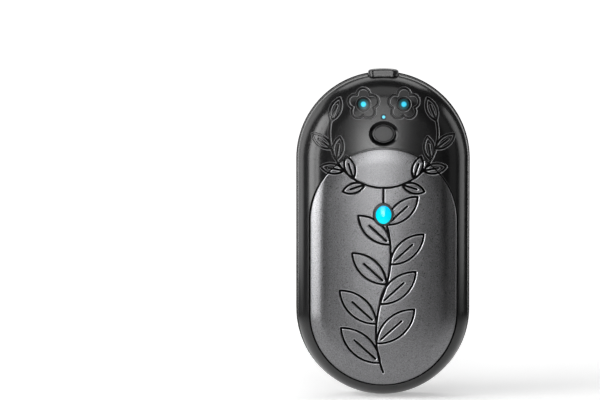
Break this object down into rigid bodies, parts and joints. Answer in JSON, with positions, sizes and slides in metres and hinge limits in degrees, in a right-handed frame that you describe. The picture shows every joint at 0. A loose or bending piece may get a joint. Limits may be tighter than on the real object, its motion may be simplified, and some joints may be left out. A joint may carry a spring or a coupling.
{
  "type": "rechargeable hand warmer",
  "caption": "Palm-sized rechargeable hand warmer: crowned stadium housing of two shells with an engraved heating plate in front, an oval button, lit lamps and a covered charging socket.",
  "frame": {"origin": "middle of the flat back face, level with the middle of the body's length", "axes": "+X across the body, +Y out of the flat back, so the heating plate faces -Y, and +Z along the body to the end with the charging socket"},
  "size_m": [0.06, 0.0284, 0.1132],
  "materials": {
    "shell": "fine satin moulded plastic",
    "plate": "sand-blasted, dark grey, with engraved lines",
    "key": "satin moulded plastic",
    "lamp": "light pipe, lit cyan",
    "gem": "domed lens, lit cyan",
    "bezel": "polished ring",
    "cover": "satin soft cover",
    "gasket": "closed-cell foam seal",
    "film": "amber film heater",
    "felt": "insulating felt",
    "foam": "open-cell foam block",
    "cell": "can in a blue shrink sleeve",
    "nickel": "plated strap",
    "board": "solder-masked circuit board",
    "chip": "moulded chip body",
    "switch": "moulded switch case",
    "plunger": "moulded switch plunger",
    "led": "surface lamp",
    "coil": "ferrite drum coil",
    "ceramic": "ceramic capacitor",
    "wire_red": "insulated wire",
    "wire_black": "insulated wire",
    "wire_amber": "insulated wire",
    "wire_white": "insulated wire",
    "wire_yellow": "insulated wire",
    "socket": "stamped shell",
    "screw": "zinc-plated screw"
  },
  "bodies": {
    "housing": {"front_shell": "shell", "rear_shell": "shell", "heating_plate": "plate", "plate_gasket": "gasket", "heater_film": "film", "insulation_pad": "felt", "cell_foam": "foam", "battery_cell_left": "cell", "battery_cell_right": "cell", "cell_strap_bottom": "nickel", "cell_strap_top": "nickel", "main_board": "board", "tact_switch_base": "switch", "lamp_lens_left": "lamp", "lamp_lens_right": "lamp", "center_lens": "lamp", "lamp_leds": "led", "gem_bezel": "bezel", "gem_lens": "gem", "gem_board": "board", "gem_led": "led", "usb_c_receptacle": "socket", "charge_chip": "chip", "control_chip": "chip", "power_inductor": "coil", "board_capacitors": "ceramic", "thermistor": "chip", "battery_lead_red": "wire_red", "battery_lead_black": "wire_black", "heater_leads": "wire_amber", "gem_leads": "wire_white", "thermistor_leads": "wire_yellow", "case_screws": "screw", "board_screws": "screw"},
    "button": {"power_button": "key"},
    "plunger": {"tact_plunger": "plunger"},
    "port_cover": {"port_cover": "cover"}
  },
  "joints": [
    {"name": "button_press", "type": "slide", "parent": "housing", "child": "button", "axis": [0, 1, 0], "range_m": [0, 0.0004], "stiffness_N_per_m": 400, "springref_m": -0.003},
    {"name": "plunger_press", "type": "slide", "parent": "housing", "child": "plunger", "axis": [0, 1, 0], "range_m": [0, 0.0004]},
    {"name": "port_cover_hinge", "type": "hinge", "parent": "housing", "child": "port_cover", "pos_m": [0, -0.0112, 0.056], "axis": [-1, 0, 0], "range_deg": [0, 100]}
  ],
  "couplings": [
    {"joint": "plunger_press", "follows": "button_press", "ratio": 1}
  ]
}
